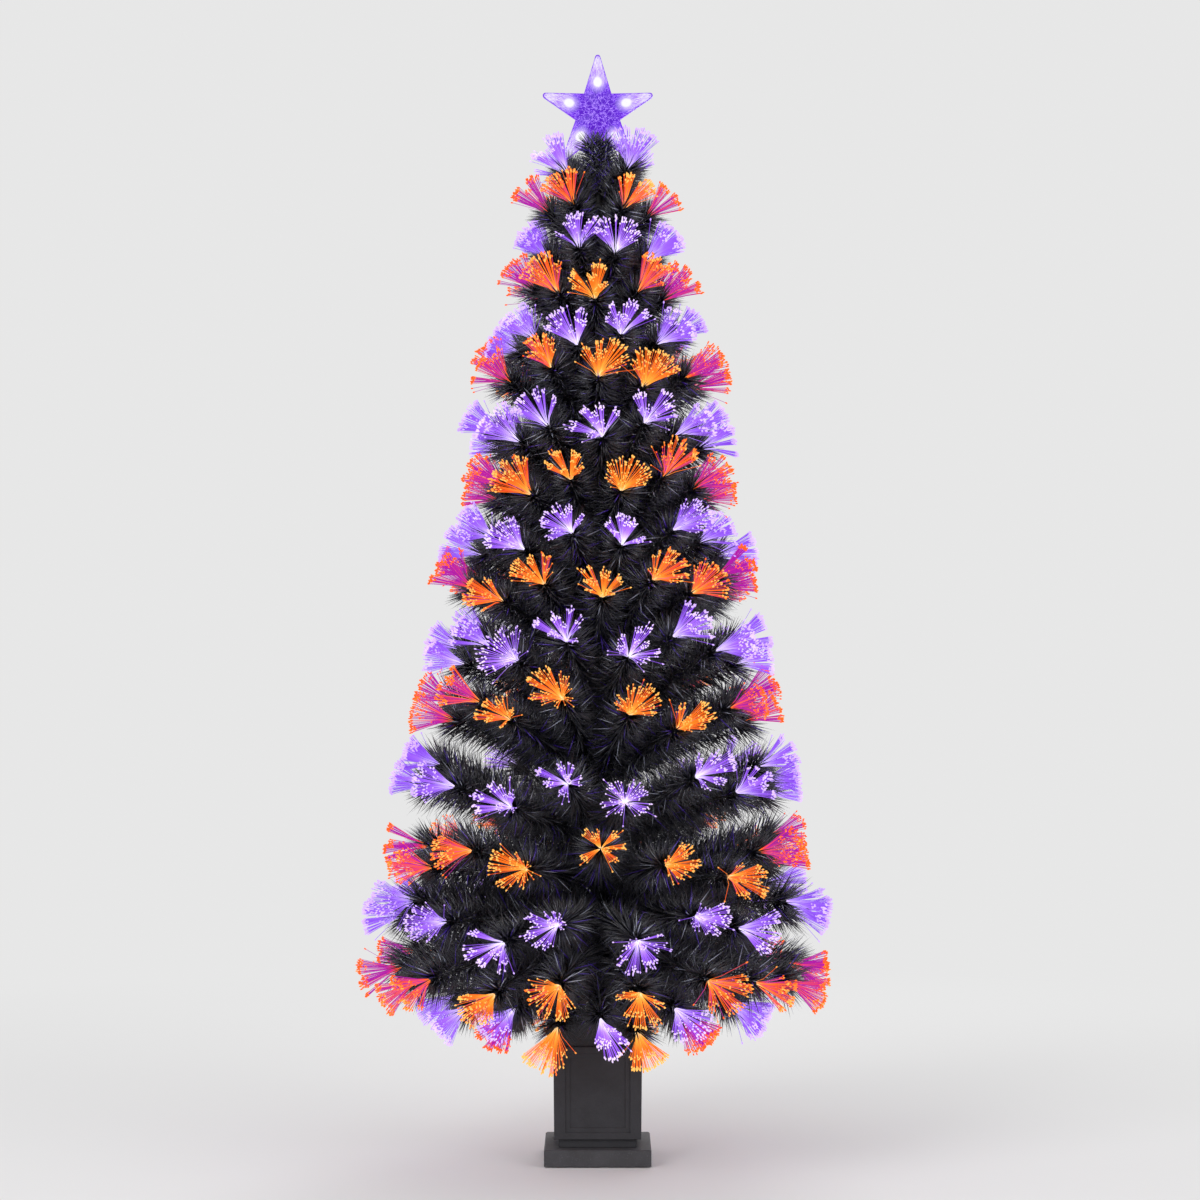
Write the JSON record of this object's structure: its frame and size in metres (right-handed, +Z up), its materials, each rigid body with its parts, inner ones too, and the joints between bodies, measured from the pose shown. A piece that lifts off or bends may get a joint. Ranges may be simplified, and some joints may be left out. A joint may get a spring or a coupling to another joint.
{
  "type": "fibre-optic christmas tree",
  "caption": "Free-standing artificial tree: rows of black tinsel boughs ending in violet and orange lit fibre sprays, on a sectional trunk in a square panelled pot, with a lit star on top.",
  "frame": {"origin": "middle of the base plate's underside, which is 2 mm above the floor when the tree stands on its feet", "axes": "+Z up the trunk, -Y is the front that the picture shows, +X to the right as seen from the front"},
  "size_m": [0.7681, 0.7607, 1.8],
  "materials": {
    "pot_plastic": "fine-grained charcoal moulding",
    "dark_plastic": "plain black moulding",
    "gloss_plastic": "polished black",
    "rubber": "soft black",
    "zinc_steel": "bright zinc plate",
    "concrete": "cast, rough",
    "trunk_paint": "satin black powder coat",
    "circuit_board": "green solder mask",
    "tinsel": "cut black film needles, some with a silver face",
    "violet_fibre": "clear fibres lit violet",
    "orange_fibre": "clear fibres lit orange",
    "star_plastic": "clear crackled moulding, lit from inside",
    "star_led": "lit LED"
  },
  "bodies": {
    "pot": {"base_plate": "dark_plastic", "rubber_foot_1": "rubber", "rubber_foot_2": "rubber", "rubber_foot_3": "rubber", "rubber_foot_4": "rubber", "base_screw_1": "zinc_steel", "base_screw_2": "zinc_steel", "base_screw_3": "zinc_steel", "base_screw_4": "zinc_steel", "pot_plinth": "pot_plastic", "pot_body": "pot_plastic", "pot_cap": "pot_plastic", "ballast_block": "concrete", "trunk_socket": "trunk_paint", "power_inlet": "dark_plastic", "switch_frame": "dark_plastic", "controller_board": "circuit_board", "pot_lead": "rubber", "switch_lead": "rubber", "inlet_lead": "rubber", "base_jack": "dark_plastic"},
    "switch": {"switch_rocker": "gloss_plastic"},
    "clamp_screw": {"clamp_screw": "zinc_steel"},
    "clamp_knob": {"clamp_knob": "gloss_plastic"},
    "lower_tree": {"trunk_foot": "dark_plastic", "trunk_lower": "trunk_paint", "tree_plug": "dark_plastic", "joint_socket": "dark_plastic", "bough_ring_08": "tinsel", "bough_ring_09": "tinsel", "bough_ring_10": "tinsel", "bough_ring_11": "tinsel", "bough_ring_12": "tinsel", "bough_ring_13": "tinsel", "bough_ring_14": "tinsel", "bough_ring_15": "tinsel", "bough_ring_16": "tinsel", "bough_ring_17": "tinsel", "bough_ring_18": "tinsel", "violet_string_lower": "violet_fibre", "orange_string_lower": "orange_fibre"},
    "upper_tree": {"joint_plug": "dark_plastic", "trunk_upper": "trunk_paint", "top_pin": "dark_plastic", "leader_tuft": "tinsel", "bough_ring_01": "tinsel", "bough_ring_02": "tinsel", "bough_ring_03": "tinsel", "bough_ring_04": "tinsel", "bough_ring_05": "tinsel", "bough_ring_06": "tinsel", "bough_ring_07": "tinsel", "violet_string_upper": "violet_fibre", "orange_string_upper": "orange_fibre"},
    "star": {"star_front": "star_plastic", "star_back": "star_plastic", "star_lights": "star_led", "star_stem": "dark_plastic"}
  },
  "joints": [
    {"name": "tree_lift", "type": "slide", "parent": "pot", "child": "lower_tree", "axis": [0, 0, 1], "range_m": [0, 0.235]},
    {"name": "upper_section_lift", "type": "slide", "parent": "lower_tree", "child": "upper_tree", "axis": [0, 0, 1], "range_m": [0, 0.075]},
    {"name": "star_lift", "type": "slide", "parent": "upper_tree", "child": "star", "axis": [0, 0, 1], "range_m": [0, 0.09]},
    {"name": "clamp_travel", "type": "slide", "parent": "pot", "child": "clamp_screw", "axis": [1, 0, 0], "range_m": [0, 0.004]},
    {"name": "clamp_turn", "type": "hinge", "parent": "clamp_screw", "child": "clamp_knob", "pos_m": [0.033, 0, 0.2463], "axis": [1, 0, 0], "range_deg": [0, 1440]},
    {"name": "switch_rock", "type": "hinge", "parent": "pot", "child": "switch", "pos_m": [-0.026, 0.08585, 0.01385], "axis": [0, 0, 1], "range_deg": [0, 19.9]}
  ],
  "couplings": [
    {"joint": "clamp_turn", "follows": "clamp_travel", "rad_per_m": 6283.2}
  ]
}
